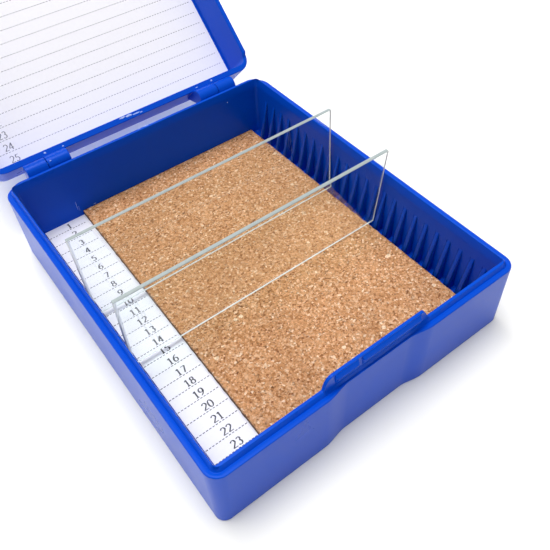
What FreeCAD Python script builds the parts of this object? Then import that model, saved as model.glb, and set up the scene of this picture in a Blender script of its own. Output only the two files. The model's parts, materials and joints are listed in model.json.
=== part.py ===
"""Cork-lined storage box for 25 microscope slides, with its lid swung open.

Millimetres. +X runs along the slides, +Y towards the hinge, +Z up.
The origin is the centre of the tray's flat underside.
The lid is drawn shut, then turned about the hinge axis to the angle it stands open at.
"""

import FreeCAD, Part
import math
import os

# Tray: a thick-walled moulding whose outside spreads slightly towards the rim
tray_half_width = 41.8
tray_half_depth = 49.45
tray_front_corner = 3.4
tray_back_corner = 4.0
outside_draft = 0.2
underside_round = 0.5
ledge_z = 19.9
floor_top_z = 2.0

# Pocket of the tray
pocket_half_width = 39.0
pocket_front_y = -46.65
pocket_back_y = 48.0
pocket_corner = 1.2

# Raised lip inside the ledge; it runs into the plain back wall
lip_top_z = 20.8
lip_top_width = 0.85
lip_foot_width = 1.3
lip_corner = 1.8
lip_back_corner = 3.2

# Slot ribs on both side walls
slot_count = 25
slot_pitch = 3.757
first_slot_back_y = 47.55
rib_foot_reach = 2.67
rib_foot_width = 1.3
rib_top_width = 0.8
rib_top_z = 17.0
rib_root = 0.2

# Finger recess in the middle of the tray's front wall
recess_depth = 0.95
recess_flat_half = 9.0
recess_ramp = 5.0

# Latch tongue on the front lip, with two catch beads on its outer face
tongue_left_x = -14.0
tongue_right_x = 15.0
tongue_top_left_x = -12.0
tongue_top_right_x = 12.4
tongue_top_z = 24.5
tongue_round = 1.2
catch_z = 23.3
catch_radius = 0.45
catch_spans = ((-11.6, -5.4), (-4.5, 11.8))

# Hinge: two pairs of knuckles, each pair on one short steel pin
hinge_y = 51.8
hinge_z = 20.2
hinge_shift_x = -0.7
knuckle_radius = 2.2
knuckle_inner_end = 20.9
knuckle_split = 27.3
knuckle_outer_end = 33.3
knuckle_gap = 0.12
pin_radius = 0.9
pin_running_clearance = 0.05
pin_end_wall = 0.8
gusset_height = 8.0

# Lid
lid_open_angle = 137.8
lid_rim_z = 20.0
lid_hinge_rim_z = 20.95
lid_top_z = 32.8
lid_ceiling_z = 31.0
lid_rim_wall = 1.3
lid_front_wall = 1.1
lid_hinge_wall = 1.75
lid_inside_taper = 1.1
lid_inside_corner = 2.0
lid_top_round = 0.8

# Sheets lying in the tray and in the lid
slot_sheet_thickness = 0.25
slot_sheet_half_width = 36.25
cork_thickness = 1.5
cork_back_left_x = -24.0
cork_front_left_x = -25.0
cork_front_right_x = 36.3
cork_back_right_x = 35.8
sheet_gap = 0.2
card_thickness = 0.25
card_half_width = 38.8

# Standard plain glass slides, and how the two leaning ones stand
slide_length = 76.0
slide_height = 26.0
slide_thickness = 1.0
slide_rest_gap = 0.05
slides = (
    ("microscope_slide_rear", 11.4, 2.5),
    ("microscope_slide_front", -7.1, -4.7),
)

cork_top_z = floor_top_z + slot_sheet_thickness + cork_thickness
hinge_point = FreeCAD.Vector(0, hinge_y, hinge_z)
x_axis = FreeCAD.Vector(1, 0, 0)


def rounded_outline(half_width, front_y, back_y, front_radius, back_radius, z):
    """Closed wire of a rectangle with rounded corners, flat at height z."""
    corners = (
        (half_width, front_y, front_radius, -90),
        (half_width, back_y, back_radius, 0),
        (-half_width, back_y, back_radius, 90),
        (-half_width, front_y, front_radius, 180),
    )
    arcs = []
    for x, y, radius, start in corners:
        centre_x = x - math.copysign(radius, x)
        centre_y = y - math.copysign(radius, y)
        points = []
        for turn in (0, 45, 90):
            angle = math.radians(start + turn)
            dx = radius * math.cos(angle)
            dy = radius * math.sin(angle)
            points.append(FreeCAD.Vector(centre_x + dx, centre_y + dy, z))
        arcs.append(points)
    edges = []
    for index, points in enumerate(arcs):
        edges.append(Part.Arc(*points).toShape())
        edges.append(Part.makeLine(points[2], arcs[(index + 1) % len(arcs)][0]))
    return Part.Wire(edges)


def tapered_block(lower, upper):
    """Solid between two rounded outlines at different heights."""
    return Part.makeLoft([lower, upper], True, True)


def prism_along_x(profile, start_x, length):
    """Solid with a polygon in the YZ plane, run along X."""
    points = [FreeCAD.Vector(start_x, y, z) for y, z in profile]
    face = Part.Face(Part.makePolygon(points + points[:1]))
    return face.extrude(FreeCAD.Vector(length, 0, 0))


def cylinder_along_x(start_x, length, y, z, radius):
    """Round bar whose axis runs along X."""
    return Part.makeCylinder(radius, length, FreeCAD.Vector(start_x, y, z), x_axis)


def tray_outside():
    """Outer block of the tray up to the ledge, with its lower edge rounded."""
    half_width = tray_half_width - outside_draft
    half_depth = tray_half_depth - outside_draft
    lower = rounded_outline(half_width, -half_depth, half_depth, tray_front_corner, tray_back_corner, 0)
    upper = rounded_outline(tray_half_width, -tray_half_depth, tray_half_depth,
                            tray_front_corner, tray_back_corner, ledge_z)
    block = tapered_block(lower, upper)
    lower_edges = [edge for edge in block.Edges if edge.BoundBox.ZMax < underside_round / 2]
    return block.makeFillet(underside_round, lower_edges)


def tray_lip():
    """Solid block of the lip's outer shape; the pocket later makes it a thin rim."""
    foot_half = pocket_half_width + lip_foot_width
    top_half = pocket_half_width + lip_top_width
    foot = rounded_outline(foot_half, pocket_front_y - lip_foot_width, tray_half_depth,
                           lip_corner, lip_back_corner, ledge_z)
    top = rounded_outline(top_half, pocket_front_y - lip_top_width, tray_half_depth - outside_draft,
                          lip_corner, lip_back_corner, lip_top_z)
    return tapered_block(foot, top)


def tray_pocket():
    """The hollow of the tray, cut from the floor up through the tongue."""
    height = tongue_top_z + 1 - floor_top_z
    outline = rounded_outline(pocket_half_width, pocket_front_y, pocket_back_y,
                              pocket_corner, pocket_corner, floor_top_z)
    return Part.Face(outline).extrude(FreeCAD.Vector(0, 0, height))


def latch_tongue():
    """Upright tongue on the front lip with rounded shoulders and its two catch beads."""
    front_y = pocket_front_y - lip_top_width
    foot_z = ledge_z
    corners = (
        (tongue_left_x, foot_z),
        (tongue_right_x, foot_z),
        (tongue_right_x, lip_top_z),
        (tongue_top_right_x, tongue_top_z),
        (tongue_top_left_x, tongue_top_z),
        (tongue_left_x, lip_top_z),
    )
    points = [FreeCAD.Vector(x, front_y, z) for x, z in corners]
    face = Part.Face(Part.makePolygon(points + points[:1]))
    tongue = face.extrude(FreeCAD.Vector(0, lip_top_width, 0))
    shoulders = []
    for edge in tongue.Edges:
        box = edge.BoundBox
        crosses_wall = box.YLength > lip_top_width / 2
        if crosses_wall and box.ZMin > tongue_top_z - underside_round:
            shoulders.append(edge)
    tongue = tongue.makeFillet(tongue_round, shoulders)
    for start_x, end_x in catch_spans:
        bead = cylinder_along_x(start_x, end_x - start_x, front_y, catch_z, catch_radius)
        tongue = tongue.fuse(bead)
    return tongue


def finger_recess():
    """Cutter for the shallow recess with sloping ends in the front wall."""
    face_y = -tray_half_depth
    floor_y = face_y + recess_depth
    outer_half = recess_flat_half + recess_ramp
    beyond_y = face_y - recess_depth
    slope = recess_ramp / recess_depth
    far_half = outer_half + slope * recess_depth
    corners = (
        (-recess_flat_half, floor_y),
        (recess_flat_half, floor_y),
        (far_half, beyond_y),
        (-far_half, beyond_y),
    )
    points = [FreeCAD.Vector(x, y, -1) for x, y in corners]
    face = Part.Face(Part.makePolygon(points + points[:1]))
    return face.extrude(FreeCAD.Vector(0, 0, ledge_z + 2))


def slot_ribs():
    """Wedge ribs between neighbouring slots on both side walls, fading into the wall."""
    height = rib_top_z - floor_top_z
    ribs = []
    for number in range(1, slot_count):
        rib_y = first_slot_back_y - number * slot_pitch
        wedge = Part.makeWedge(
            -rib_foot_reach, 0, -rib_foot_width / 2, -rib_top_width / 2, 0,
            rib_root, height, rib_foot_width / 2, rib_top_width / 2, rib_root,
        )
        wedge.rotate(FreeCAD.Vector(0, 0, 0), x_axis, 90)
        for side in (1, -1):
            rib = wedge.copy()
            if side < 0:
                rib.rotate(FreeCAD.Vector(0, 0, 0), FreeCAD.Vector(0, 0, 1), 180)
            rib.translate(FreeCAD.Vector(side * pocket_half_width, rib_y, floor_top_z))
            ribs.append(rib)
    return ribs


def knuckle_start(side, inner, outer):
    """Lower X end of a stretch between two distances from the hinge's middle."""
    near = inner if side > 0 else -outer
    return near + hinge_shift_x


def knuckle(side, inner, outer, wall_y, towards_z):
    """Barrel round the hinge axis with a gusset to the wall at wall_y."""
    start_x = knuckle_start(side, inner, outer)
    length = outer - inner
    barrel = cylinder_along_x(start_x, length, hinge_y, hinge_z, knuckle_radius)
    far_y = hinge_y + knuckle_radius * math.cos(math.radians(30))
    far_z = hinge_z + towards_z * knuckle_radius * math.sin(math.radians(30))
    profile = (
        (wall_y, hinge_z + towards_z),
        (hinge_y, hinge_z),
        (far_y, far_z),
        (wall_y, hinge_z + towards_z * gusset_height),
    )
    return barrel.fuse(prism_along_x(profile, start_x, length))


def pin_bore(side, radius):
    """Hole for one hinge pin, closed at both outer faces of the pair."""
    inner = knuckle_inner_end + pin_end_wall
    outer = knuckle_outer_end - pin_end_wall
    return cylinder_along_x(knuckle_start(side, inner, outer), outer - inner, hinge_y, hinge_z, radius)


def make_base_tray():
    """Tray with lip, slot ribs, latch tongue, finger recess and its two hinge knuckles."""
    tray = tray_outside().fuse(tray_lip())
    tray = tray.cut(finger_recess())
    tray = tray.cut(tray_pocket())
    tray = tray.fuse(slot_ribs() + [latch_tongue()])
    for side in (1, -1):
        ear = knuckle(side, knuckle_split + knuckle_gap / 2, knuckle_outer_end,
                      tray_half_depth - outside_draft - 0.1, -1)
        tray = tray.fuse(ear).cut(pin_bore(side, pin_radius))
    return tray.removeSplitter()


def lid_outside():
    """Outer block of the shut lid with its top edge rounded."""
    lower = rounded_outline(tray_half_width, -tray_half_depth, tray_half_depth,
                            tray_front_corner, tray_back_corner, lid_rim_z)
    upper = rounded_outline(tray_half_width - outside_draft, -tray_half_depth + outside_draft,
                            tray_half_depth - outside_draft, tray_front_corner, tray_back_corner, lid_top_z)
    block = tapered_block(lower, upper)
    top_edges = [edge for edge in block.Edges if edge.BoundBox.ZMin > lid_top_z - lid_top_round / 2]
    return block.makeFillet(lid_top_round, top_edges)


def lid_inside():
    """The hollow of the shut lid, narrower at the ceiling than at the rim."""
    rim_half = tray_half_width - lid_rim_wall
    front_y = -tray_half_depth + lid_front_wall
    back_y = tray_half_depth - lid_hinge_wall
    rim = rounded_outline(rim_half, front_y, back_y, lid_inside_corner, lid_inside_corner, lid_rim_z)
    ceiling = rounded_outline(rim_half - lid_inside_taper, front_y, back_y,
                              lid_inside_corner, lid_inside_corner, lid_ceiling_z)
    return tapered_block(rim, ceiling)


def lid_hinge_relief():
    """Cutter that lifts the lid's hinge-side rim clear of the tray's higher back wall."""
    corner = FreeCAD.Vector(-tray_half_width - 1, tray_half_depth - tray_back_corner, lid_rim_z - 1)
    return Part.makeBox(2 * tray_half_width + 2, tray_back_corner + 1, lid_hinge_rim_z - lid_rim_z + 1, corner)


def swing_open(shape):
    """Turns a shape of the shut lid to where it stands open."""
    shape.rotate(hinge_point, x_axis, -lid_open_angle)
    return shape


def make_lid():
    """Shallow lid with its two hinge knuckles, standing open."""
    lid = lid_outside().cut(lid_inside()).cut(lid_hinge_relief())
    for side in (1, -1):
        ear = knuckle(side, knuckle_inner_end, knuckle_split - knuckle_gap / 2,
                      tray_half_depth - outside_draft - 0.1, 1)
        lid = lid.fuse(ear).cut(pin_bore(side, pin_radius + pin_running_clearance))
    return swing_open(lid.removeSplitter())


def make_hinge_pin(side):
    """Short steel pin held by the tray's knuckle, on which the lid's knuckle turns."""
    inner = knuckle_inner_end + pin_end_wall + pin_running_clearance
    outer = knuckle_outer_end - pin_end_wall
    return cylinder_along_x(knuckle_start(side, inner, outer), outer - inner, hinge_y, hinge_z, pin_radius)


def make_slot_sheet():
    """Printed sheet that covers the tray's floor between the ribs."""
    front_y = pocket_front_y + sheet_gap
    length = pocket_back_y - sheet_gap - front_y
    corner = FreeCAD.Vector(-slot_sheet_half_width, front_y, floor_top_z)
    return Part.makeBox(2 * slot_sheet_half_width, length, slot_sheet_thickness, corner)


def make_cork():
    """Cork sheet, cut slightly out of square, glued down beside the slot numbers."""
    front_y = pocket_front_y + sheet_gap
    back_y = pocket_back_y - sheet_gap
    corners = (
        (cork_front_left_x, front_y),
        (cork_front_right_x, front_y),
        (cork_back_right_x, back_y),
        (cork_back_left_x, back_y),
    )
    points = [FreeCAD.Vector(x, y, floor_top_z + slot_sheet_thickness) for x, y in corners]
    face = Part.Face(Part.makePolygon(points + points[:1]))
    return face.extrude(FreeCAD.Vector(0, 0, cork_thickness))


def make_lid_card():
    """Ruled card glued to the lid's ceiling."""
    front_y = -tray_half_depth + lid_front_wall + 3 * sheet_gap
    back_y = tray_half_depth - lid_hinge_wall - sheet_gap
    outline = rounded_outline(card_half_width, front_y, back_y, lid_inside_corner, lid_inside_corner,
                              lid_ceiling_z - card_thickness)
    return swing_open(Part.Face(outline).extrude(FreeCAD.Vector(0, 0, card_thickness)))


def make_slide(foot_y, lean):
    """Plain glass slide on its long edge, leaning by the given angle from upright."""
    corner = FreeCAD.Vector(-slide_length / 2, -slide_thickness / 2, 0)
    slide = Part.makeBox(slide_length, slide_thickness, slide_height, corner)
    slide.rotate(FreeCAD.Vector(0, 0, 0), x_axis, -lean)
    lift = cork_top_z + slide_rest_gap - slide.BoundBox.ZMin
    slide.translate(FreeCAD.Vector(0, foot_y, lift))
    return slide


def write(shape, node):
    """Writes one closed solid under its node's name."""
    solid = shape.Solids[0] if len(shape.Solids) == 1 else shape
    solid.exportStep("parts/" + node + ".step")
    print(node, "solids", len(shape.Solids), "valid", shape.isValid(), "volume", round(shape.Volume, 1))


os.makedirs("parts", exist_ok=True)
write(make_base_tray(), "base_tray")
write(make_lid(), "lid")
write(make_hinge_pin(1), "hinge_pin_right")
write(make_hinge_pin(-1), "hinge_pin_left")
write(make_slot_sheet(), "slot_index_sheet")
write(make_cork(), "cork_sheet")
write(make_lid_card(), "lid_index_card")
for node, foot_y, lean in slides:
    write(make_slide(foot_y, lean), node)
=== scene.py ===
"""Cork-lined storage box for 25 microscope slides, lid open, with two plain glass slides standing in it."""

import json
import math

import bmesh
import bpy
from mathutils import Matrix, Vector, noise


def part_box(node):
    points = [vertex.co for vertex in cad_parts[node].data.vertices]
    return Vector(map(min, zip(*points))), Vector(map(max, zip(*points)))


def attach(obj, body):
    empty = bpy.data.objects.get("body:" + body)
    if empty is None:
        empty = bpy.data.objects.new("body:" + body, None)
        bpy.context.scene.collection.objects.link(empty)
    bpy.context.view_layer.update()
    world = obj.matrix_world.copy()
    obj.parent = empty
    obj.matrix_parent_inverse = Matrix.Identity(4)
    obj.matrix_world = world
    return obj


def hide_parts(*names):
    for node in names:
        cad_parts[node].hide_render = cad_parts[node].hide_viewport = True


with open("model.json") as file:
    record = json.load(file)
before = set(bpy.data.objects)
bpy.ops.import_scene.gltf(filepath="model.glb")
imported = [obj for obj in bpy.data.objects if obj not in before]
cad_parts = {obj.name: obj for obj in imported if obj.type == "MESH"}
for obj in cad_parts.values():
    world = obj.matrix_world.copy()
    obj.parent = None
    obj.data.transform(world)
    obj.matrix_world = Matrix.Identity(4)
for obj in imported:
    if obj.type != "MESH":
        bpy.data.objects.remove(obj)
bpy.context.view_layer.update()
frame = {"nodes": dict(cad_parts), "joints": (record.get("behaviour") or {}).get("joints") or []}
joints = {joint["name"]: joint for joint in frame["joints"]}

# ---------------------------------------------------------------- table, light and camera
# The box stands on a plain white table under broad, soft light.
# The sheen on the blue walls is this white surrounding mirrored in the plastic.


def linear(hex_colour, alpha=1.0):
    """An sRGB hex colour as the linear values that shaders take."""
    channels = [int(hex_colour[i:i + 2], 16) / 255 for i in (1, 3, 5)]
    return (*[c / 12.92 if c <= 0.04045 else ((c + 0.055) / 1.055) ** 2.4 for c in channels], alpha)


def add_node(tree, kind, settings=None, inputs=None):
    """Adds a node with its settings; an input is a plain value or the socket that feeds it."""
    made = tree.nodes.new(kind)
    for name, value in (settings or {}).items():
        setattr(made, name, value)
    for name, value in (inputs or {}).items():
        if isinstance(value, bpy.types.NodeSocket):
            tree.links.new(value, made.inputs[name])
        else:
            made.inputs[name].default_value = value
    return made


def new_material(name):
    """An empty node material with its output, as (material, tree, output)."""
    material = bpy.data.materials.new(name)
    material.use_nodes = True
    tree = material.node_tree
    tree.nodes.clear()
    return material, tree, add_node(tree, "ShaderNodeOutputMaterial")


def finish_material(tree, output, shader):
    """Links a shader node to the material's output."""
    tree.links.new(shader.outputs[0], output.inputs["Surface"])


scene = bpy.context.scene
scene.view_settings.view_transform = "Standard"

side_light, overhead_light, sky_falloff = 0.22, 0.78, 3.0
world = bpy.data.worlds.new("white_room")
world.use_nodes = True
tree = world.node_tree
tree.nodes.clear()
view = add_node(tree, "ShaderNodeTexCoord").outputs["Generated"]
height = add_node(tree, "ShaderNodeSeparateXYZ", inputs={"Vector": view})
above = add_node(tree, "ShaderNodeMath", {"operation": "MAXIMUM"}, {0: height.outputs["Z"], 1: 0.0})
overhead = add_node(tree, "ShaderNodeMath", {"operation": "POWER"}, {0: above.outputs[0], 1: sky_falloff})
strength = add_node(tree, "ShaderNodeMath", {"operation": "MULTIPLY_ADD"}, {
    0: overhead.outputs[0], 1: overhead_light, 2: side_light})
sky = add_node(tree, "ShaderNodeBackground", inputs={
    "Color": linear("#FCFCFF"), "Strength": strength.outputs[0]})
add_node(tree, "ShaderNodeOutputWorld", inputs={"Surface": sky.outputs[0]})
scene.world = world

table_paint, tree, output = new_material("matt_white_table")
finish_material(tree, output, add_node(tree, "ShaderNodeBsdfPrincipled", inputs={
    "Base Color": linear("#FBFAF3"), "Roughness": 0.75, "IOR": 1.45}))
table_mesh = bpy.data.meshes.new("table_top")
table_half = 3.0
table_mesh.from_pydata([(-table_half, -table_half, 0), (table_half, -table_half, 0),
                        (table_half, table_half, 0), (-table_half, table_half, 0)], [], [(0, 1, 2, 3)])
table_mesh.materials.append(table_paint)
table_top = bpy.data.objects.new("table_top", table_mesh)
scene.collection.objects.link(table_top)

for name, place, size, power in (
    ("soft_box_overhead", (-0.06, 0.17, 1.25), 0.65, 11.5),
    ("soft_box_left", (-0.8, -0.1, 0.45), 0.5, 0.7),
    ("soft_box_low_behind", (0.05, 0.6, 0.14), 0.4, 2.6),
):
    lamp = bpy.data.lights.new(name, "AREA")
    lamp.size = size
    lamp.energy = power
    lamp_object = bpy.data.objects.new(name, lamp)
    lamp_object.location = place
    lamp_object.rotation_mode = "QUATERNION"
    lamp_object.rotation_quaternion = (-Vector(place)).to_track_quat("-Z", "Y")
    scene.collection.objects.link(lamp_object)

camera_place = Vector((-0.05601, -0.09188, 0.12855))
camera_heading = math.radians(-35.25)
camera_drop = math.radians(49.93)
camera_roll = math.radians(-2.59)
forward = Vector((-math.sin(camera_heading) * math.cos(camera_drop),
                  math.cos(camera_heading) * math.cos(camera_drop), -math.sin(camera_drop)))
level_right = Vector((math.cos(camera_heading), math.sin(camera_heading), 0))
level_up = level_right.cross(forward)
right = math.cos(camera_roll) * level_right + math.sin(camera_roll) * level_up
up = math.cos(camera_roll) * level_up - math.sin(camera_roll) * level_right
camera = bpy.data.objects.new("camera", bpy.data.cameras.new("camera"))
camera.data.lens = 40.99
camera.data.clip_start = 0.005
camera.matrix_world = Matrix.Translation(camera_place) @ Matrix((right, up, -forward)).transposed().to_4x4()
scene.collection.objects.link(camera)
scene.camera = camera

# ---------------------------------------------------------------- base tray
# One thick-walled moulding in blue ABS. Its rim steps up from an outer ledge, on which the lid sits,
# to a thin lip; the front lip rises into a latch tongue, and the front wall has a finger recess.
MM = 0.001


def blue_abs(name):
    """Injection-moulded ABS: even satin gloss, a slight drift in tone and a faint moulding grain.

    The grain is drawn about 0.5 mm wide, coarser than the real one, so that it shows. The blue tint of the
    direct reflection stands for light that comes back from inside the coloured plastic.
    """
    material, tree, output = new_material(name)
    place = add_node(tree, "ShaderNodeTexCoord").outputs["Object"]
    grain = add_node(tree, "ShaderNodeTexNoise", inputs={"Vector": place, "Scale": 1800.0, "Detail": 2.0})
    flow = add_node(tree, "ShaderNodeTexNoise", inputs={"Vector": place, "Scale": 70.0, "Detail": 3.0})
    gloss = add_node(tree, "ShaderNodeMapRange", inputs={
        "Value": flow.outputs["Fac"], "From Min": 0.3, "From Max": 0.7, "To Min": 0.27, "To Max": 0.33})
    tone = add_node(tree, "ShaderNodeMix", {"data_type": "RGBA"}, {
        "Factor": flow.outputs["Fac"], "A": linear("#0047C4"), "B": linear("#0050CE")})
    bump = add_node(tree, "ShaderNodeBump", inputs={
        "Height": grain.outputs["Fac"], "Strength": 0.06, "Distance": 0.00002})
    finish_material(tree, output, add_node(tree, "ShaderNodeBsdfPrincipled", inputs={
        "Base Color": tone.outputs["Result"], "Roughness": gloss.outputs["Result"], "IOR": 1.53,
        "Specular IOR Level": 0.22, "Specular Tint": linear("#9DB2FF"), "Normal": bump.outputs["Normal"]}))
    return material


def torn_abs(name):
    """ABS whitened where it was torn from the gate or bruised: matt and pale."""
    material, tree, output = new_material(name)
    place = add_node(tree, "ShaderNodeTexCoord").outputs["Object"]
    tear = add_node(tree, "ShaderNodeTexNoise", inputs={"Vector": place, "Scale": 2200.0, "Detail": 2.0})
    tone = add_node(tree, "ShaderNodeMix", {"data_type": "RGBA"}, {
        "Factor": tear.outputs["Fac"], "A": linear("#5588E6"), "B": linear("#DCE8FF")})
    finish_material(tree, output, add_node(tree, "ShaderNodeBsdfPrincipled", inputs={
        "Base Color": tone.outputs["Result"], "Roughness": 0.6, "IOR": 1.53}))
    return material


def make_piece(name, points, faces, materials):
    """A mesh object from points in millimetres, smooth-shaded with its flats kept flat."""
    mesh = bpy.data.meshes.new(name)
    mesh.from_pydata([Vector(p) * MM for p in points], [], faces)
    for material in materials:
        mesh.materials.append(material)
    mesh.polygons.foreach_set("use_smooth", [True] * len(mesh.polygons))
    mesh.update()
    piece = bpy.data.objects.new(name, mesh)
    scene.collection.objects.link(piece)
    return piece


def keep_flats(piece):
    """Normals weighted by face area, so that rounded edges shade softly and flats stay flat."""
    weighted = piece.modifiers.new("flat_faces", "WEIGHTED_NORMAL")
    weighted.keep_sharp = True
    weighted.weight = 100


def join(pieces, name):
    """Joins meshes into the first piece."""
    joined = bmesh.new()
    for piece in pieces:
        joined.from_mesh(piece.data)
    first = pieces[0]
    joined.to_mesh(first.data)
    joined.free()
    for piece in pieces[1:]:
        bpy.data.objects.remove(piece)
    first.name = name
    return first


def fleck(place, length, width, height=0.08):
    """A torn or bruised fleck of plastic, just proud of the face around it, in the body's second material."""
    lump = bmesh.new()
    bmesh.ops.create_icosphere(lump, subdivisions=2, radius=1.0)
    for point in lump.verts:
        rough = 1 + 0.5 * noise.noise(point.co * 2.0 + Vector(place))
        half = Vector((length / 2, width / 2, height))
        point.co = (Vector(place) + point.co * half * rough) * MM
    mesh = bpy.data.meshes.new("fleck")
    lump.to_mesh(mesh)
    lump.free()
    mesh.polygons.foreach_set("material_index", [1] * len(mesh.polygons))
    return bpy.data.objects.new("fleck", mesh)


tray_low, tray_high = (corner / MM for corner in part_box("base_tray"))
half_width = tray_high.x
front_face = tray_low.y
back_face = -front_face
front_corner, back_corner = 3.4, 4.0
draft = 0.2
ledge_z, lip_z, floor_z = 19.9, 20.8, 2.0
pocket_half, pocket_front, pocket_back, pocket_corner = 39.0, -46.65, 48.0, 1.2
lip_width, lip_foot, lip_corner, groove_depth = 0.78, 1.32, 1.8, 0.16
lead_in, lead_in_depth, front_pocket_corner = 0.4, 2.6, 0.5
tongue_z, tongue_left, tongue_shoulder = tray_high.z, -14.2, 2.2
recess_depth, recess_flat, recess_end = 0.95, 8.3, 14.6
CORNER_STEPS = 9
front_samples = [-32, -24] + [-18 + 0.25 * i for i in range(145)] + [24, 32]
side_samples = [-36, -18, 0, 18, 36, 44.8]
back_samples = [-30, -15, 0, 15, 30]


def outline(half, front, back, front_radius, back_radius):
    """Points of a rounded rectangle seen from above, anticlockwise from its front left."""
    def corner(x, y, radius, start):
        turns = [math.radians(start + 90 * i / CORNER_STEPS) for i in range(CORNER_STEPS + 1)]
        return [(x + radius * math.cos(t), y + radius * math.sin(t)) for t in turns]
    inner = half - front_radius
    inner_back = half - back_radius
    points = [(x, front) for x in front_samples]
    points += corner(inner, front + front_radius, front_radius, -90)
    points += [(half, y) for y in side_samples]
    points += corner(inner_back, back - back_radius, back_radius, 0)
    points += [(-x, back) for x in back_samples]
    points += corner(-inner_back, back - back_radius, back_radius, 90)
    points += [(-half, y) for y in reversed(side_samples)]
    points += corner(-inner, front + front_radius, front_radius, 180)
    return points


def ramp(value, start, end):
    """0 at start, 1 at end, with a soft turn at both."""
    share = min(max((value - start) / (end - start), 0), 1)
    return share * share * (3 - 2 * share)


def recess_share(x):
    """How far the front wall steps back at x: 1 in the recess, 0 beside it."""
    return ramp(-abs(x), -recess_end, -recess_flat)


def tongue_share(x):
    """How much of its full height the latch tongue has at x; its left shoulder is a round one."""
    shoulder = min(max((x - tongue_left) / tongue_shoulder, 0), 1)
    return math.sqrt(1 - (1 - shoulder) ** 2) * ramp(-x, -15.0, -12.2)


def ring(z, half, front, back, front_radius, back_radius, recess=0.0, tongue=0.0, back_lift=0.0):
    """One level of a moulded wall: its outline with the front's recess and tongue worked in."""
    points = []
    for x, y in outline(half, front, back, front_radius, back_radius):
        at_front = y < front + 0.01
        at_back = y > back - back_radius - 0.01
        dy = recess * recess_share(x) if at_front else 0
        dz = tongue * tongue_share(x) if at_front else 0
        points.append((x, y + dy, z + dz + (back_lift if at_back else 0)))
    return points


def shell(name, rings, materials):
    """A closed skin through the rings, from the first, capped, to the last, capped."""
    count = len(rings[0])
    points = [point for level in rings for point in level]
    faces = [tuple(reversed(range(count)))]
    for level in range(len(rings) - 1):
        a, b = level * count, (level + 1) * count
        faces += [(a + i, a + (i + 1) % count, b + (i + 1) % count, b + i) for i in range(count)]
    last = (len(rings) - 1) * count
    faces.append(tuple(range(last, last + count)))
    return make_piece(name, points, faces, materials)


def rounding(radius, start, end, steps=3):
    """(across, up) steps of a rounded edge between two angles in degrees, from its centre."""
    turns = [math.radians(start + (end - start) * i / steps) for i in range(steps + 1)]
    return [(radius * math.cos(t), radius * math.sin(t)) for t in turns]


tray_rings = []
foot_round, ledge_round, lip_round, floor_round = 0.4, 0.25, 0.15, 0.5
foot_corner, lip_back_corner = 2.4, back_corner - 0.8
lip_lean, lip_set_back = 0.1, 0.08
ledge_back_share = 0.2
for across, rise in rounding(foot_round, -90, 0):
    inset = foot_round - across
    tray_rings.append(ring(foot_round + rise, half_width - inset, front_face + inset, back_face - inset,
                           foot_corner, back_corner, recess=recess_depth))
for across, rise in rounding(ledge_round, 0, 90):
    inset = draft + ledge_round - across
    ledge_back = back_face - ledge_back_share * (inset - draft)
    tray_rings.append(ring(ledge_z - ledge_round + rise, half_width - inset, front_face + inset, ledge_back,
                           front_corner, back_corner, recess=recess_depth))

# The lip's outer face from its groove up: outset from the pocket, height, and how far the recess moves it.
lip_levels = (
    (lip_foot + 0.3, ledge_z, 0.25),
    (lip_foot + 0.1, ledge_z - groove_depth, 0.07),
    (lip_foot, ledge_z - groove_depth, 0.0),
    (lip_foot - 0.08, ledge_z, 0.0),
    (lip_width + 0.04, lip_z - lip_round - 0.02, 0.0),
)
for outset, z, recess in lip_levels:
    lip_back = back_face - lip_lean * (z - ledge_z) - lip_set_back
    tray_rings.append(ring(z, pocket_half + outset, pocket_front - outset, lip_back,
                           lip_corner, lip_back_corner, recess=recess))
tongue_rise = tongue_z - lip_z
for across, rise in rounding(lip_round, 0, 90):
    outset = lip_width - lip_round + across
    tray_rings.append(ring(lip_z - lip_round + rise, pocket_half + outset, pocket_front - outset,
                           back_face - draft - lip_round + across, lip_corner - 0.2, lip_back_corner,
                           tongue=tongue_rise))
for across, rise in rounding(lip_round, 90, 180):
    outset = lip_round + across
    tray_rings.append(ring(lip_z - lip_round + rise, pocket_half + lead_in + outset, pocket_front - outset,
                           pocket_back + lead_in + outset, front_pocket_corner, pocket_corner,
                           tongue=tongue_rise))
for share in (0.12, 0.35, 0.7, 1.0):
    outset = lead_in * (1 - share) ** 1.5
    tray_rings.append(ring(lip_z - lip_round - lead_in_depth * share, pocket_half + outset, pocket_front,
                           pocket_back + outset, front_pocket_corner, pocket_corner))
for across, rise in rounding(floor_round, 180, 270):
    inset = floor_round + across
    tray_rings.append(ring(floor_z + floor_round + rise, pocket_half - inset, pocket_front + inset,
                           pocket_back - inset, front_pocket_corner, pocket_corner))

tray_plastic = blue_abs("moulded_blue_abs_tray")
tray_shell = shell("tray_shell", tray_rings, [tray_plastic])

# ---------------------------------------------------------------- latch catches
# Two catches moulded along the tongue's outer face. Each slopes out from the tongue's top to a ridge and
# draws back beneath it to the tongue's foot; the lid's front wall snaps over the ridge.
catch_spans = ((-11.6, -5.4), (-4.5, 11.8))
catch_reach, catch_top, catch_ridge, catch_foot = 0.72, 24.25, 23.1, 20.9


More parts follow.
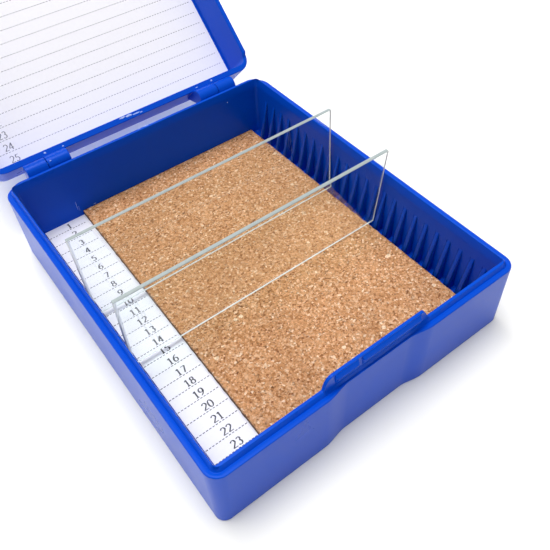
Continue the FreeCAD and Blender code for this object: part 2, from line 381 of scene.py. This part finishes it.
def latch_catch(start, end):
    """A ridge along X on the tongue's outer face, its ends drawn in."""
    face_y = pocket_front - lip_width
    profile = ((0.25, catch_top), (0.0, catch_top), (-0.82 * catch_reach, catch_ridge + 0.2),
               (-catch_reach, catch_ridge), (-0.9 * catch_reach, catch_ridge - 0.14), (0.0, catch_foot),
               (0.25, catch_foot))
    stations = ((start, 0.1), (start + 0.15, 0.75), (start + 0.45, 1.0),
                (end - 0.45, 1.0), (end - 0.15, 0.75), (end, 0.1))
    sections = [[(x, face_y + (dy if dy > 0 else dy * fullness), z) for dy, z in profile]
                for x, fullness in stations]
    catch = shell("latch_catch", sections, [tray_plastic])
    outward = bmesh.new()
    outward.from_mesh(catch.data)
    bmesh.ops.recalc_face_normals(outward, faces=outward.faces)
    outward.to_mesh(catch.data)
    outward.free()
    return catch


catches = [latch_catch(start, end) for start, end in catch_spans]

# ---------------------------------------------------------------- hinge knuckles
# Each hinge has one barrel on the tray and one on the lid, with a gusset down to its wall.
hinge = joints["lid_hinge"]
hinge_y, hinge_z = hinge["pos_m"][1] / MM, hinge["pos_m"][2] / MM
open_angle = math.radians(-hinge["range_deg"][0])
hinge_shift, knuckle_radius = -0.7, 2.2
knuckle_inner, knuckle_split, knuckle_outer, knuckle_gap = 20.9, 27.3, 33.3, 0.12
BARREL_STEPS = 48


def hull_outline(points):
    """Convex outline of points in a plane, anticlockwise."""
    ordered = sorted(points)
    def half(run):
        kept = []
        for p in run:
            while len(kept) > 1 and ((kept[-1][0] - kept[-2][0]) * (p[1] - kept[-2][1])
                                     - (kept[-1][1] - kept[-2][1]) * (p[0] - kept[-2][0])) <= 0:
                kept.pop()
            kept.append(p)
        return kept[:-1]
    return half(ordered) + half(ordered[::-1])


def knuckle(name, side, inner, outer, wall_y, wall_levels, materials):
    """A barrel with its gusset: one outline run along X, with softened ends."""
    start = (inner if side > 0 else -outer) + hinge_shift
    end = start + outer - inner
    turns = [2 * math.pi * i / BARREL_STEPS for i in range(BARREL_STEPS)]
    circle = [(hinge_y + knuckle_radius * math.cos(t), hinge_z + knuckle_radius * math.sin(t)) for t in turns]
    section = hull_outline(circle + [(wall_y, level) for level in wall_levels])
    soft = 0.18
    levels = []
    for x, shrink in ((start, soft), (start + 0.3 * soft, 0.3 * soft), (start + soft, 0),
                      (end - soft, 0), (end - 0.3 * soft, 0.3 * soft), (end, soft)):
        scale = 1 - shrink / knuckle_radius
        levels.append([(x, hinge_y + (y - hinge_y) * scale, hinge_z + (z - hinge_z) * scale)
                       for y, z in section])
    return shell(name, levels, materials)


wall_inside = back_face - 0.6
tray_gusset = (hinge_z - 1, hinge_z - 8)
tray_knuckles = [knuckle("tray_knuckle", side, knuckle_split + knuckle_gap / 2, knuckle_outer, wall_inside,
                         tray_gusset, [tray_plastic]) for side in (-1, 1)]

# Pale flecks: a thin pale streak along the back rim, and small bruises on a barrel and the back wall.
back_rim_pale_streak = (((-0.9, 49.2, 20.79), 1.8, 0.34, 0.06), ((1.3, 49.22, 20.8), 2.6, 0.42, 0.06),
             ((3.5, 49.2, 20.79), 1.8, 0.3, 0.06))
bruises = (((-27.03, 50.51, 21.99), 0.5, 0.4, 0.12), ((28.1, 47.99, 17.25), 0.34, 0.1, 0.17),
           ((-25.25, 48.0, 6.1), 0.1, 0.05, 1.7), ((-24.8, 48.0, 5.0), 0.08, 0.05, 1.0),
           ((-20.1, 48.0, 4.1), 0.9, 0.05, 0.1), ((-21.4, 48.0, 3.6), 0.6, 0.05, 0.12))
tray_flecks = [fleck(*mark) for mark in back_rim_pale_streak + bruises]
tray_body = join([tray_shell] + catches + tray_knuckles + tray_flecks, "tray_moulding")
tray_body.data.materials.append(torn_abs("torn_blue_abs_tray"))
keep_flats(tray_body)
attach(tray_body, "tray")
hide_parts("base_tray")

# ---------------------------------------------------------------- slot ribs
# Wedge ribs between the 25 slots, moulded on both side walls; they fade into the wall towards the rim.
slot_count, slot_pitch, first_slot_back = 25, 3.757, 47.55
rib_reach, rib_foot_width, rib_top_width, rib_top = 2.67, 1.7, 1.35, 15.2
rib_shift, rib_round = -0.6, 0.3


def repeat_tree():
    """Geometry Nodes: repeats the incoming piece in columns and rows, realised, in one material."""
    tree = bpy.data.node_groups.new("repeat_in_rows", "GeometryNodeTree")
    face = tree.interface
    face.new_socket("Geometry", in_out="INPUT", socket_type="NodeSocketGeometry")
    for name, kind in (("Columns", "Int"), ("Column Step", "Vector"),
                       ("Rows", "Int"), ("Row Step", "Vector"), ("Material", "Material")):
        face.new_socket(name, in_out="INPUT", socket_type="NodeSocket" + kind)
    face.new_socket("Geometry", in_out="OUTPUT", socket_type="NodeSocketGeometry")
    given = add_node(tree, "NodeGroupInput").outputs
    columns = add_node(tree, "GeometryNodeMeshLine", inputs={
        "Count": given["Columns"], "Offset": given["Column Step"]})
    rows = add_node(tree, "GeometryNodeMeshLine", inputs={
        "Count": given["Rows"], "Offset": given["Row Step"]})
    lattice = add_node(tree, "GeometryNodeInstanceOnPoints", inputs={
        "Points": rows.outputs["Mesh"], "Instance": columns.outputs["Mesh"]})
    places = add_node(tree, "GeometryNodeRealizeInstances", inputs={
        "Geometry": lattice.outputs["Instances"]})
    copies = add_node(tree, "GeometryNodeInstanceOnPoints", inputs={
        "Points": places.outputs["Geometry"], "Instance": given["Geometry"]})
    real = add_node(tree, "GeometryNodeRealizeInstances", inputs={"Geometry": copies.outputs["Instances"]})
    painted = add_node(tree, "GeometryNodeSetMaterial", inputs={
        "Geometry": real.outputs["Geometry"], "Material": given["Material"]})
    add_node(tree, "NodeGroupOutput", inputs={"Geometry": painted.outputs["Geometry"]})
    return tree


repeat_in_rows = repeat_tree()


def repeated(piece, **values):
    """Runs the repeating tree on a piece and leaves the result as its plain mesh."""
    modifier = piece.modifiers.new("repeat", "NODES")
    modifier.node_group = repeat_in_rows
    for item in repeat_in_rows.interface.items_tree:
        key = item.name.replace(" ", "_").lower()
        if item.in_out == "INPUT" and key in values:
            modifier[item.identifier] = values[key]
    bpy.context.view_layer.update()
    evaluated = piece.evaluated_get(bpy.context.evaluated_depsgraph_get())
    plain = bpy.data.meshes.new_from_object(evaluated)
    piece.modifiers.remove(modifier)
    piece.data = plain
    plain.name = piece.name
    return piece


rib_root = 0.2
rib_ends = ((rib_reach, rib_foot_width / 2, floor_z), (0.0, rib_top_width / 2, rib_top))
rib_quads = ((0, 1, 5, 4), (1, 2, 6, 5), (2, 3, 7, 6), (3, 0, 4, 7), (4, 5, 6, 7), (3, 2, 1, 0))
rib_points, rib_faces = [], []
for side in (1, -1):
    rib_faces += [tuple(len(rib_points) + i for i in quad) for quad in rib_quads]
    for reach_at, half_at, z in rib_ends:
        face_x = side * (pocket_half - reach_at)
        root_x = side * (pocket_half + rib_root)
        rib_points += [(face_x, -half_at, z), (face_x, half_at, z),
                       (root_x, half_at, z), (root_x, -half_at, z)]
first_rib_y = first_slot_back - slot_pitch + rib_shift
rib_points = [(x, y + first_rib_y, z) for x, y, z in rib_points]
ribs = make_piece("slot_ribs", rib_points, rib_faces, [tray_plastic])
soften = bmesh.new()
soften.from_mesh(ribs.data)
bmesh.ops.recalc_face_normals(soften, faces=soften.faces)
upright = [edge for edge in soften.edges if abs(edge.verts[0].co.z - edge.verts[1].co.z) > 5 * MM]
bmesh.ops.bevel(soften, geom=upright, offset=rib_round * MM, segments=3, affect="EDGES")
soften.to_mesh(ribs.data)
soften.free()
repeated(ribs, columns=1, column_step=(0, 0, 0), rows=slot_count - 1, row_step=(0, -slot_pitch * MM, 0),
         material=tray_plastic)
keep_flats(ribs)
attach(ribs, "tray")

# ---------------------------------------------------------------- numbered floor sheet
# A printed sheet of matt paper covers the floor; its strip left of the cork shows a dashed line
# under each slot and the slot's number in a book face.


def matt_paper(name, colour):
    """Uncoated printed paper: matt, with a faint fibre mottle."""
    material, tree, output = new_material(name)
    place = add_node(tree, "ShaderNodeTexCoord").outputs["Object"]
    fibre = add_node(tree, "ShaderNodeTexNoise", inputs={"Vector": place, "Scale": 1200.0, "Detail": 4.0})
    tone = add_node(tree, "ShaderNodeMapRange", inputs={
        "Value": fibre.outputs["Fac"], "From Min": 0.3, "From Max": 0.7, "To Min": 0.97, "To Max": 1.0})
    shade = add_node(tree, "ShaderNodeMix", {"data_type": "RGBA", "blend_type": "MULTIPLY"}, {
        "Factor": 1.0, "A": linear(colour), "B": tone.outputs["Result"]})
    bump = add_node(tree, "ShaderNodeBump", inputs={
        "Height": fibre.outputs["Fac"], "Strength": 0.3, "Distance": 0.00002})
    finish_material(tree, output, add_node(tree, "ShaderNodeBsdfPrincipled", inputs={
        "Base Color": shade.outputs["Result"], "Roughness": 0.6, "IOR": 1.45,
        "Normal": bump.outputs["Normal"]}))
    return material


def printing_ink(name, colour):
    """Printer's ink soaked into paper: matt, slightly uneven in strength."""
    material, tree, output = new_material(name)
    place = add_node(tree, "ShaderNodeTexCoord").outputs["Object"]
    cover = add_node(tree, "ShaderNodeTexNoise", inputs={"Vector": place, "Scale": 2500.0, "Detail": 1.0})
    tone = add_node(tree, "ShaderNodeMix", {"data_type": "RGBA"}, {
        "Factor": cover.outputs["Fac"], "A": linear(colour), "B": linear("#6C6C74")})
    finish_material(tree, output, add_node(tree, "ShaderNodeBsdfPrincipled", inputs={
        "Base Color": tone.outputs["Result"], "Roughness": 0.7, "IOR": 1.45}))
    return material


floor_paper = matt_paper("matt_printed_paper", "#FBFAFF")
sheet_node = frame["nodes"]["slot_index_sheet"]
sheet_node.data.materials.clear()
sheet_node.data.materials.append(floor_paper)

# Strokes of the figures on a height of 1. A line is (x, y, x, y); an arc is its centre, its two radii and
# the angles where it starts and ends.
figure_strokes = {
    "0": ((0, 0.5, 0.27, 0.49, 0, 360),),
    "1": ((0.02, 0, 0.02, 1.0), (-0.19, 0.83, 0.02, 0.97), (-0.17, 0.02, 0.2, 0.02)),
    "2": ((-0.01, 0.71, 0.25, 0.27, 160, -25), (0.22, 0.6, -0.27, 0.04), (-0.27, 0.05, 0.29, 0.05)),
    "3": ((-0.02, 0.76, 0.2, 0.22, 155, -80), (-0.03, 0.28, 0.25, 0.27, 85, -150)),
    "4": ((0.1, 0.98, -0.3, 0.29), (-0.31, 0.28, 0.3, 0.28), (0.11, 0, 0.11, 1.0)),
    "5": ((-0.14, 0.96, 0.24, 0.96), (-0.14, 0.96, -0.19, 0.57), (-0.04, 0.31, 0.26, 0.29, 120, -145)),
    "6": ((0, 0.3, 0.25, 0.29, 0, 360), (0.33, 0.3, 0.58, 0.69, 180, 100)),
    "7": ((-0.26, 0.95, 0.27, 0.95), (0.26, 0.95, -0.07, 0)),
    "8": ((0, 0.75, 0.19, 0.23, 0, 360), (0, 0.27, 0.25, 0.26, 0, 360)),
    "9": ((0, 0.7, 0.25, 0.29, 0, 360), (-0.33, 0.7, 0.58, 0.69, 0, -80)),
}
figure_advance = 0.74


def stroke_strip(stroke, thick, thin):
    """The two sides of one pen stroke: wide where it runs up, thin where it runs across."""
    if len(stroke) == 4:
        x0, y0, x1, y1 = stroke
        spine = [(x0 + (x1 - x0) * i / 2, y0 + (y1 - y0) * i / 2) for i in range(3)]
    else:
        cx, cy, rx, ry, start, end = stroke
        turns = [math.radians(start + (end - start) * i / 14) for i in range(15)]
        spine = [(cx + rx * math.cos(t), cy + ry * math.sin(t)) for t in turns]
    sides = []
    for i, (x, y) in enumerate(spine):
        before, after = spine[max(i - 1, 0)], spine[min(i + 1, len(spine) - 1)]
        along = Vector((after[0] - before[0], after[1] - before[1])).normalized()
        half = (thin + (thick - thin) * abs(along.y) ** 1.5) / 2
        sides.append(((x - along.y * half, y + along.x * half), (x + along.y * half, y - along.x * half)))
    return sides


def figures(text, centre_x, base_y, height, thick, thin):
    """Flat quads of a number's strokes, centred on centre_x, as lists of four (x, y) corners."""
    quads = []
    for place, digit in enumerate(text):
        x0 = centre_x + (place - (len(text) - 1) / 2) * figure_advance * height
        for stroke in figure_strokes[digit]:
            sides = stroke_strip(stroke, thick, thin)
            for (a, b), (c, d) in zip(sides, sides[1:]):
                quads.append([(x0 + x * height, base_y + y * height) for x, y in (b, d, c, a)])
    return quads


def dash_quad(left, middle, length, width):
    """The corners of one printed dash, from its left end."""
    low, high = middle - width / 2, middle + width / 2
    return [(left, low), (left + length, low), (left + length, high), (left, high)]


def print_quads(name, quads, to_space, ink):
    """One mesh of printed quads, each corner put in place by to_space."""
    points, faces = [], []
    for quad in quads:
        faces.append(tuple(range(len(points), len(points) + 4)))
        points += [to_space(x, y) for x, y in quad]
    return make_piece(name, points, faces, [ink])


sheet_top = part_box("slot_index_sheet")[1].z / MM
cork_low, cork_high = (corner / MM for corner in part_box("cork_sheet"))
ink_lift = 0.012
first_line_y, line_pitch = 44.7, 3.8
strip_left, strip_right = -36.1, -24.3
strip_centre = -29.65
number_height, number_rise = 1.95, 0.45
floor_pen, card_pen = (0.19, 0.09), (0.13, 0.07)
dash_length, dash_pitch, dash_width = 0.55, 0.86, 0.2
floor_ink = printing_ink("printing_ink_black", "#15151B")
dash_ink = printing_ink("printing_ink_dashes", "#23232B")
number_quads = []
for slot in range(1, slot_count + 1):
    line_y = first_line_y - line_pitch * (slot - 1)
    number_quads += figures(str(slot), strip_centre, line_y + number_rise, number_height, *floor_pen)


def on_sheet(x, y):
    """A printed point on the floor sheet."""
    return x, y, sheet_top + ink_lift


floor_numbers = print_quads("slot_numbers", number_quads, on_sheet, floor_ink)
first_dash = dash_quad(strip_left, first_line_y, dash_length, dash_width)
floor_dashes = print_quads("slot_dashes", [first_dash], on_sheet, dash_ink)
repeated(floor_dashes, columns=int((strip_right - strip_left) / dash_pitch),
         column_step=(dash_pitch * MM, 0, 0), rows=slot_count - 1, row_step=(0, -line_pitch * MM, 0),
         material=dash_ink)
for print_piece in (floor_numbers, floor_dashes):
    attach(print_piece, "tray")

# ---------------------------------------------------------------- cork lining
# Sheet of pressed cork granules, 1.5 mm thick, knife-cut slightly out of square and glued to the paper.
cork_bottom, cork_top = cork_low.z, cork_high.z
cork_corners = {"front_left": -25.0, "front_right": 36.3, "back_left": -24.0, "back_right": 35.8}
cork_cell = 0.5
cut_wander, cut_waves, press_dip = 0.12, 60, 0.06


def pressed_cork(name, shade=1.0):
    """Cork agglomerate: tan granules about 0.5 mm wide, dark bark, pale chips of 1.5 mm and fine pits. A
    shade below 1 darkens all of it, as painted shade.
    """
    material, tree, output = new_material(name)
    place = add_node(tree, "ShaderNodeTexCoord").outputs["Object"]
    warp = add_node(tree, "ShaderNodeTexNoise", inputs={"Vector": place, "Scale": 1500.0, "Detail": 2.0})
    shift = add_node(tree, "ShaderNodeVectorMath", {"operation": "MULTIPLY_ADD"}, {
        0: warp.outputs["Color"], 1: (0.0004, 0.0004, 0.0004), 2: place})
    granule = add_node(tree, "ShaderNodeTexVoronoi", inputs={
        "Vector": shift.outputs["Vector"], "Scale": 2100.0})
    pick = add_node(tree, "ShaderNodeSeparateColor", inputs={"Color": granule.outputs["Color"]})
    tones = add_node(tree, "ShaderNodeValToRGB", inputs={"Fac": pick.outputs["Red"]})
    stops = ((0.0, "#8A5530"), (0.08, "#AE7647"), (0.35, "#C48D5E"), (0.7, "#D09B6D"), (0.93, "#DDB088"),
             (1.0, "#F0D2B0"))
    ramp_stops = tones.color_ramp.elements
    while len(ramp_stops) < len(stops):
        ramp_stops.new(0.5)
    for stop, (at, colour) in zip(ramp_stops, stops):
        stop.position = at
        stop.color = linear(colour)
    speck = add_node(tree, "ShaderNodeTexNoise", inputs={"Vector": place, "Scale": 2600.0, "Detail": 3.0})
    speck_tone = add_node(tree, "ShaderNodeMapRange", inputs={
        "Value": speck.outputs["Fac"], "From Min": 0.3, "From Max": 0.7,
        "To Min": 0.74 * shade, "To Max": 1.24 * shade})
    pits = add_node(tree, "ShaderNodeTexNoise", inputs={
        "Vector": place, "Scale": 1500.0, "Detail": 4.0, "Roughness": 0.7})
    bark = add_node(tree, "ShaderNodeMapRange", inputs={
        "Value": pits.outputs["Fac"], "From Min": 0.36, "From Max": 0.43, "To Min": 0.45, "To Max": 1.0})
    cloud = add_node(tree, "ShaderNodeTexNoise", inputs={"Vector": place, "Scale": 55.0, "Detail": 2.0})
    cloud_tone = add_node(tree, "ShaderNodeMapRange", inputs={
        "Value": cloud.outputs["Fac"], "From Min": 0.35, "From Max": 0.65, "To Min": 0.95, "To Max": 1.06})
    darker = add_node(tree, "ShaderNodeMath", {"operation": "MULTIPLY"}, {
        0: speck_tone.outputs["Result"], 1: bark.outputs["Result"]})
    shading = add_node(tree, "ShaderNodeMath", {"operation": "MULTIPLY"}, {
        0: darker.outputs[0], 1: cloud_tone.outputs["Result"]})
    chips = add_node(tree, "ShaderNodeTexVoronoi", inputs={
        "Vector": shift.outputs["Vector"], "Scale": 620.0})
    chip_pick = add_node(tree, "ShaderNodeSeparateColor", inputs={"Color": chips.outputs["Color"]})
    chip_here = add_node(tree, "ShaderNodeMath", {"operation": "GREATER_THAN"}, {
        0: chip_pick.outputs["Green"], 1: 0.988})
    chip_size = add_node(tree, "ShaderNodeMath", {"operation": "LESS_THAN"}, {
        0: chips.outputs["Distance"], 1: 0.33})
    chip_mask = add_node(tree, "ShaderNodeMath", {"operation": "MULTIPLY"}, {
        0: chip_here.outputs[0], 1: chip_size.outputs[0]})
    chipped = add_node(tree, "ShaderNodeMix", {"data_type": "RGBA"}, {
        "Factor": chip_mask.outputs[0], "A": tones.outputs["Color"], "B": linear("#EFD0AC")})
    mottled = add_node(tree, "ShaderNodeMix", {"data_type": "RGBA", "blend_type": "MULTIPLY"}, {
        "Factor": 1.0, "A": chipped.outputs["Result"], "B": shading.outputs[0]})
    bump = add_node(tree, "ShaderNodeBump", inputs={
        "Height": pits.outputs["Fac"], "Strength": 0.6, "Distance": 0.00012})
    finish_material(tree, output, add_node(tree, "ShaderNodeBsdfPrincipled", inputs={
        "Base Color": mottled.outputs["Result"], "Roughness": 0.85, "IOR": 1.4,
        "Normal": bump.outputs["Normal"]}))
    return material


def cork_edge_x(side, share):
    """X of the cut edge at a share of the way from front to back, slightly ragged."""
    front, back = cork_corners["front_" + side], cork_corners["back_" + side]
    ragged = cut_wander * noise.noise(Vector((share * cut_waves, front, 0)))
    return front + (back - front) * share + ragged


cork_rows = round((cork_high.y - cork_low.y) / cork_cell)
cork_columns = round((cork_high.x - cork_low.x) / cork_cell)
cork_points, cork_faces = [], []
for row in range(cork_rows + 1):
    share = row / cork_rows
    y = cork_low.y + (cork_high.y - cork_low.y) * share
    left, right_edge = cork_edge_x("left", share), cork_edge_x("right", share)
    for column in range(cork_columns + 1):
        x = left + (right_edge - left) * column / cork_columns
        dip = press_dip * abs(noise.noise(Vector((x * 1.1, y * 1.1, 3.0))))
        cork_points.append((x, y, cork_top - dip))
stride = cork_columns + 1
for row in range(cork_rows):
    for column in range(cork_columns):
        a = row * stride + column
        cork_faces.append((a, a + 1, a + 1 + stride, a + stride))
edge_loop = list(range(cork_columns)) + [r * stride + cork_columns for r in range(cork_rows)]
edge_loop += [cork_rows * stride + c for c in range(cork_columns, 0, -1)]
edge_loop += [r * stride for r in range(cork_rows, 0, -1)]
lower = len(cork_points)
cork_points += [(cork_points[i][0], cork_points[i][1], cork_bottom) for i in edge_loop]
for i, upper_index in enumerate(edge_loop):
    following = (i + 1) % len(edge_loop)
    cork_faces.append((upper_index, lower + i, lower + following, edge_loop[following]))
cork_faces.append(tuple(range(len(cork_points) - 1, lower - 1, -1)))
cork = make_piece("cork_lining", cork_points, cork_faces,
                  [pressed_cork("pressed_cork_granules"), pressed_cork("pressed_cork_cut_edge", 0.3)])
# The cut side facing -X takes the cork darkened to 0.3: painted shade on that one side.
cork.data.polygons.foreach_set("material_index", [int(p.normal.x < -0.5) for p in cork.data.polygons])
cork.data.polygons.foreach_set("use_smooth", [p.normal.z > 0.7 for p in cork.data.polygons])
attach(cork, "tray")
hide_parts("cork_sheet")

# ---------------------------------------------------------------- glass slides
# Two plain soda-lime slides, 76 x 26 x 1 mm, with polished faces and cut edges, standing in their slots.
slide_size = Vector((76.0, 1.0, 26.0))
ground_corner, ground_margin = 0.12, 0.6


def clear_glass(name, roughness, tint):
    """Float glass: clear, sharp gloss; light passes it to the cork beneath."""
    material, tree, output = new_material(name)
    material.use_transparent_shadow = True
    glass = add_node(tree, "ShaderNodeBsdfPrincipled", inputs={
        "Base Color": linear(tint), "Roughness": roughness, "IOR": 1.52, "Transmission Weight": 1.0})
    clear = add_node(tree, "ShaderNodeBsdfTransparent", inputs={"Color": linear("#F4FAF8")})
    path = add_node(tree, "ShaderNodeLightPath")
    mixed = add_node(tree, "ShaderNodeMixShader", inputs={
        0: path.outputs["Is Shadow Ray"], 1: glass.outputs[0], 2: clear.outputs[0]})
    finish_material(tree, output, mixed)
    return material


def cut_glass_edge(name, dark, pale):
    """Scored and broken glass edge: grey green, dull beside the polished faces."""
    material, tree, output = new_material(name)
    place = add_node(tree, "ShaderNodeTexCoord").outputs["Object"]
    chatter = add_node(tree, "ShaderNodeTexNoise", inputs={"Vector": place, "Scale": 700.0, "Detail": 3.0})
    tone = add_node(tree, "ShaderNodeMix", {"data_type": "RGBA"}, {
        "Factor": chatter.outputs["Fac"], "A": linear(dark), "B": linear(pale)})
    finish_material(tree, output, add_node(tree, "ShaderNodeBsdfPrincipled", inputs={
        "Base Color": tone.outputs["Result"], "Roughness": 0.4, "IOR": 1.52, "Transmission Weight": 0.3}))
    return material


slide_glass = clear_glass("float_glass_faces", 0.0, "#FAFEFD")
# The cut edges take two tones of one material by the way they face: near white on the sides and foot, painted
# light for light that comes out of the glass there, and grey green on the top edge.
slide_skins = (slide_glass, cut_glass_edge("cut_glass_edges", "#E2EAEA", "#FBFFFF"),
               cut_glass_edge("cut_glass_top_edge", "#B0BEBD", "#CDD8D7"),
               clear_glass("ground_glass_margin", 0.35, "#E3EAEA"))


def glass_slide(name, node, joint, body):
    """A slide leaning as its lifting joint points, in the place of its CAD node."""
    box = bmesh.new()
    bmesh.ops.create_cube(box, size=1.0)
    bmesh.ops.scale(box, vec=slide_size * MM, verts=box.verts)
    bmesh.ops.bevel(box, geom=box.edges[:], offset=ground_corner * MM, segments=1, affect="EDGES")
    margin_x = ground_margin - slide_size.x / 2
    bmesh.ops.bisect_plane(box, geom=box.verts[:] + box.edges[:] + box.faces[:],
                           plane_co=(margin_x * MM, 0, 0), plane_no=(1, 0, 0))
    for face in box.faces:
        polished = abs(face.normal.y) > 0.99
        in_margin = face.calc_center_median().x < margin_x * MM and face.normal.y < -0.99
        # Sides and foot take the near-white edge copy, painted light; the top edge takes the grey-green one.
        face.material_index = 3 if in_margin else 0 if polished else 2 if face.normal.z > 0.5 else 1
    low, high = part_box(node)
    axis = Vector(joints[joint]["axis"])
    lean = Matrix.Rotation(math.atan2(-axis.y, axis.z), 4, "X")
    bmesh.ops.transform(box, matrix=Matrix.Translation((low + high) / 2) @ lean, verts=box.verts)
    mesh = bpy.data.meshes.new(name)
    box.to_mesh(mesh)
    box.free()
    for skin in slide_skins:
        mesh.materials.append(skin)
    slide = bpy.data.objects.new(name, mesh)
    scene.collection.objects.link(slide)
    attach(slide, body)
    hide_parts(node)


glass_slide("rear_glass_slide", "microscope_slide_rear", "rear_slide_lift", "rear_slide")
glass_slide("front_glass_slide", "microscope_slide_front", "front_slide_lift", "front_slide")

# ---------------------------------------------------------------- lid
# Shallow cover moulded in the same blue ABS. It is drawn shut and turned about the hinge to stand open.
lid_rim_z, lid_hinge_rim_z, lid_ceiling, lid_top = 20.0, 20.95, 31.0, 32.8
rim_wall, front_wall, hinge_wall, inside_taper = 1.3, 1.1, 1.75, 1.1
inside_corner, rim_round, top_round, ceiling_round = 2.0, 0.2, 1.6, 0.5
swing = (Matrix.Translation((0, hinge_y, hinge_z)) @ Matrix.Rotation(-open_angle, 4, "X")
         @ Matrix.Translation((0, -hinge_y, -hinge_z)))


def swung(rings):
    """Levels of the shut lid, turned to where it stands open."""
    return [[tuple(swing @ Vector(p)) for p in level] for level in rings]


rim_half, rim_front, rim_back = half_width - rim_wall, front_face + front_wall, back_face - hinge_wall
back_lift = lid_hinge_rim_z - lid_rim_z
lid_rings = []
for across, rise in rounding(ceiling_round, 90, 0):
    inset = inside_taper + ceiling_round - across
    lid_rings.append(ring(lid_ceiling - ceiling_round + rise, rim_half - inset,
                          rim_front + inset - inside_taper, rim_back - inset + inside_taper,
                          inside_corner, inside_corner))
for across, rise in rounding(rim_round, 180, 270):
    outset = rim_round + across
    lid_rings.append(ring(lid_rim_z + rim_round + rise, rim_half + outset, rim_front - outset,
                          rim_back + outset, inside_corner, inside_corner, back_lift=back_lift))
for across, rise in rounding(rim_round, -90, 0):
    inset = rim_round - across
    lid_rings.append(ring(lid_rim_z + rim_round + rise, half_width - inset, front_face + inset,
                          back_face - inset, front_corner, back_corner, back_lift=back_lift))
for across, rise in rounding(top_round, 0, 90, steps=5):
    inset = draft + top_round - across
    lid_rings.append(ring(lid_top - top_round + rise, half_width - inset, front_face + inset,
                          back_face - inset, front_corner, back_corner))
lid_plastic = blue_abs("moulded_blue_abs_lid")
lid_shell = shell("lid_shell", swung(lid_rings), [lid_plastic])
lid_gusset = (hinge_z + 1.8, hinge_z + 8)
lid_knuckles = []
for side in (-1, 1):
    ear = knuckle("lid_knuckle", side, knuckle_inner, knuckle_split - knuckle_gap / 2, wall_inside,
                  lid_gusset, [lid_plastic])
    ear.data.transform(Matrix.Scale(MM, 4) @ swing @ Matrix.Scale(1 / MM, 4))
    lid_knuckles.append(ear)

# Pale flecks on the hinge-side rim: (x, y), length and width of four bruises and of the torn gate.
lid_marks = (((-26.8, 48.5), 0.7, 0.45), ((-21.6, 48.75), 0.55, 0.3), ((27.3, 48.5), 0.6, 0.45),
             ((21.9, 48.65), 0.7, 0.25), ((-3.0, 48.15), 1.9, 0.5), ((-0.9, 48.3), 2.0, 0.62),
             ((1.4, 48.55), 2.2, 0.4), ((2.9, 48.75), 0.8, 0.3))
lid_flecks = [fleck((*spot, lid_hinge_rim_z), length, width) for spot, length, width in lid_marks]
for lump in lid_flecks:
    lump.data.transform(Matrix.Scale(MM, 4) @ swing @ Matrix.Scale(1 / MM, 4))
lid_body = join([lid_shell] + lid_knuckles + lid_flecks, "lid_moulding")
lid_body.data.materials.append(torn_abs("torn_blue_abs_lid"))
keep_flats(lid_body)
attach(lid_body, "lid")
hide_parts("lid")

# ---------------------------------------------------------------- ruled card in the lid
# A paper card glued to the lid's ceiling, ruled with 25 pale dashed lines and numbered at its left.
card_paper = matt_paper("matt_index_card", "#FCFAFD")
card_node = frame["nodes"]["lid_index_card"]
card_node.data.materials.clear()
card_node.data.materials.append(card_paper)
card_face = lid_ceiling - 0.25 - hinge_z
away = Vector((0, -math.cos(open_angle), math.sin(open_angle)))
into_lid = Vector((0, math.sin(open_angle), math.cos(open_angle)))
card_first_line, card_pitch = 5.76, 3.51
card_left, card_right = -38.4, 38.7
card_dash, card_dash_pitch, card_dash_width = 0.58, 0.92, 0.13


def on_card(x, distance):
    """A printed point on the card, at a distance from the hinge axis along the open lid."""
    place = Vector((0, hinge_y, hinge_z)) + away * distance + into_lid * (card_face - ink_lift)
    return x, place.y, place.z


card_number_x = -33.1
card_ink = printing_ink("printing_ink_card", "#707078")
card_quads = []
for slot in range(1, slot_count + 1):
    line_distance = card_first_line + (slot_count - slot) * card_pitch
    card_quads += figures(str(slot), card_number_x, line_distance + number_rise, number_height, *card_pen)
card_numbers = print_quads("card_numbers", card_quads, on_card, card_ink)
first_dash = dash_quad(card_left, card_first_line, card_dash, card_dash_width)
card_dashes = print_quads("card_dashes", [first_dash], on_card, card_ink)
repeated(card_dashes, columns=int((card_right - card_left) / card_dash_pitch),
         column_step=(card_dash_pitch * MM, 0, 0), rows=slot_count, row_step=away * card_pitch * MM,
         material=card_ink)
for print_piece in (card_numbers, card_dashes):
    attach(print_piece, "lid")

# ---------------------------------------------------------------- hinge pins
# Short lengths of drawn steel wire inside the knuckles; only their material is set here.
steel, tree, output = new_material("drawn_steel_wire")
finish_material(tree, output, add_node(tree, "ShaderNodeBsdfPrincipled", inputs={
    "Base Color": linear("#B9BABC"), "Metallic": 1.0, "Roughness": 0.28}))
for node in ("hinge_pin_left", "hinge_pin_right"):
    frame["nodes"][node].data.materials.clear()
    frame["nodes"][node].data.materials.append(steel)
